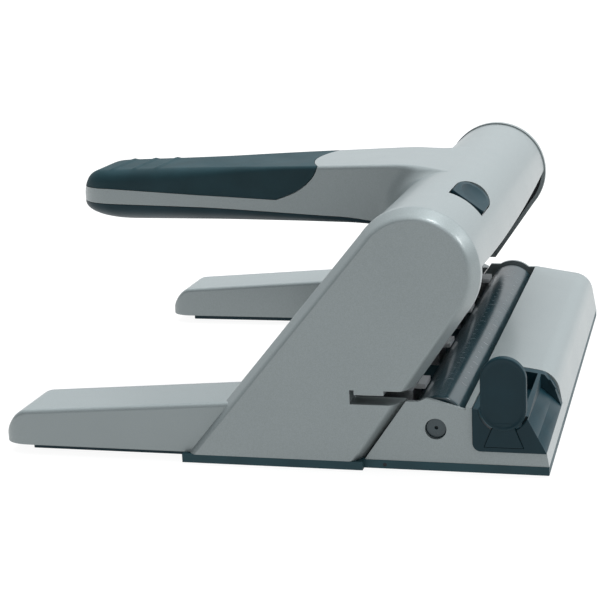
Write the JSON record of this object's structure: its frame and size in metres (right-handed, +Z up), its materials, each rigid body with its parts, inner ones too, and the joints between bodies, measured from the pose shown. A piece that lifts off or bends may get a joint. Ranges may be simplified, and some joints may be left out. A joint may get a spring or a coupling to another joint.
{
  "type": "multi-hole punch",
  "caption": "Desk punch with a long lever, adjustable punch heads on rods under a round hood, a pull-out paper guide, a turning scale drum and two rear legs.",
  "frame": {"origin": "on the desk plane, at mid width, straight under the line of the four punched holes", "axes": "+X to the right seen from the paper side, +Y from the paper table towards the handle and legs, +Z up"},
  "size_m": [0.328, 0.2953, 0.1351],
  "materials": {
    "silver_cover": "satin silver lacquer over moulded plastic",
    "dark_shell": "fine-grained satin, dark petrol",
    "grip_skin": "soft-touch, matt",
    "pad_rubber": "matt black",
    "bright_steel": "plain bright",
    "frame_steel": "zinc-plated, dull"
  },
  "bodies": {
    "base": {"base_pan": "dark_shell", "leg_sole_left": "dark_shell", "leg_sole_right": "dark_shell", "foot_pads": "pad_rubber", "left_side_cover": "silver_cover", "right_side_cover": "silver_cover", "paper_table": "silver_cover", "rear_cover": "silver_cover", "left_upright": "frame_steel", "right_upright": "frame_steel", "rear_beam": "frame_steel", "head_rods": "bright_steel", "pivot_shaft": "bright_steel", "shaft_clips": "bright_steel", "cover_screws": "bright_steel", "base_screws": "bright_steel", "guide_channel": "dark_shell", "flap_wire": "bright_steel"},
    "lever": {"lever_cover": "silver_cover", "handle_grip": "grip_skin", "handle_underside": "dark_shell", "lever_arm_left": "frame_steel", "lever_arm_right": "frame_steel", "hood_end_left": "dark_shell", "hood_end_right": "dark_shell", "presser_bar": "bright_steel", "arm_spacers": "bright_steel", "return_springs": "bright_steel"},
    "lock": {"lock_slider": "dark_shell", "lock_bolt": "bright_steel"},
    "drum": {"scale_drum": "dark_shell"},
    "guide": {"guide_cap": "dark_shell", "guide_tab": "dark_shell", "guide_rail": "bright_steel", "guide_screws": "bright_steel"},
    "flap": {"chip_flap": "dark_shell"},
    "head_1": {"head_frame_1": "frame_steel", "die_plate_1": "bright_steel", "pin_spring_1": "bright_steel"},
    "pin_1": {"punch_pin_1": "bright_steel", "pin_cap_1": "bright_steel"},
    "head_2": {"head_frame_2": "frame_steel", "die_plate_2": "bright_steel", "pin_spring_2": "bright_steel"},
    "pin_2": {"punch_pin_2": "bright_steel", "pin_cap_2": "bright_steel"},
    "head_3": {"head_frame_3": "frame_steel", "die_plate_3": "bright_steel", "pin_spring_3": "bright_steel"},
    "pin_3": {"punch_pin_3": "bright_steel", "pin_cap_3": "bright_steel"},
    "head_4": {"head_frame_4": "frame_steel", "die_plate_4": "bright_steel", "pin_spring_4": "bright_steel"},
    "pin_4": {"punch_pin_4": "bright_steel", "pin_cap_4": "bright_steel"}
  },
  "joints": [
    {"name": "lever_press", "type": "hinge", "parent": "base", "child": "lever", "pos_m": [0, -0.02, 0.101], "axis": [-1, 0, 0], "range_deg": [0, 24], "stiffness_Nm_per_rad": 2.6, "springref_deg": -33.23},
    {"name": "lock_slide", "type": "slide", "parent": "lever", "child": "lock", "axis": [-1, 0, 0], "range_m": [0, 0.006]},
    {"name": "drum_spin", "type": "hinge", "parent": "base", "child": "drum", "pos_m": [0, -0.0294, 0.0224], "axis": [1, 0, 0], "continuous": true},
    {"name": "guide_pull", "type": "slide", "parent": "base", "child": "guide", "axis": [-1, 0, 0], "range_m": [0, 0.12]},
    {"name": "flap_open", "type": "hinge", "parent": "base", "child": "flap", "pos_m": [0, -0.0032, 0.0026], "axis": [-1, 0, 0], "range_deg": [0, 75]},
    {"name": "head_1_set", "type": "slide", "parent": "base", "child": "head_1", "axis": [1, 0, 0], "range_m": [-0.015, 0.015]},
    {"name": "pin_1_stroke", "type": "slide", "parent": "head_1", "child": "pin_1", "axis": [0, 0, -1], "range_m": [0, 0.00832], "deforming": ["pin_spring_1"]},
    {"name": "head_2_set", "type": "slide", "parent": "base", "child": "head_2", "axis": [1, 0, 0], "range_m": [-0.015, 0.015]},
    {"name": "pin_2_stroke", "type": "slide", "parent": "head_2", "child": "pin_2", "axis": [0, 0, -1], "range_m": [0, 0.00832], "deforming": ["pin_spring_2"]},
    {"name": "head_3_set", "type": "slide", "parent": "base", "child": "head_3", "axis": [1, 0, 0], "range_m": [-0.015, 0.015]},
    {"name": "pin_3_stroke", "type": "slide", "parent": "head_3", "child": "pin_3", "axis": [0, 0, -1], "range_m": [0, 0.00832], "deforming": ["pin_spring_3"]},
    {"name": "head_4_set", "type": "slide", "parent": "base", "child": "head_4", "axis": [1, 0, 0], "range_m": [-0.015, 0.015]},
    {"name": "pin_4_stroke", "type": "slide", "parent": "head_4", "child": "pin_4", "axis": [0, 0, -1], "range_m": [0, 0.00832], "deforming": ["pin_spring_4"]}
  ],
  "couplings": [
    {"joint": "pin_1_stroke", "follows": "lever_press", "m_per_rad": 0.019854},
    {"joint": "pin_2_stroke", "follows": "lever_press", "m_per_rad": 0.019854},
    {"joint": "pin_3_stroke", "follows": "lever_press", "m_per_rad": 0.019854},
    {"joint": "pin_4_stroke", "follows": "lever_press", "m_per_rad": 0.019854}
  ]
}
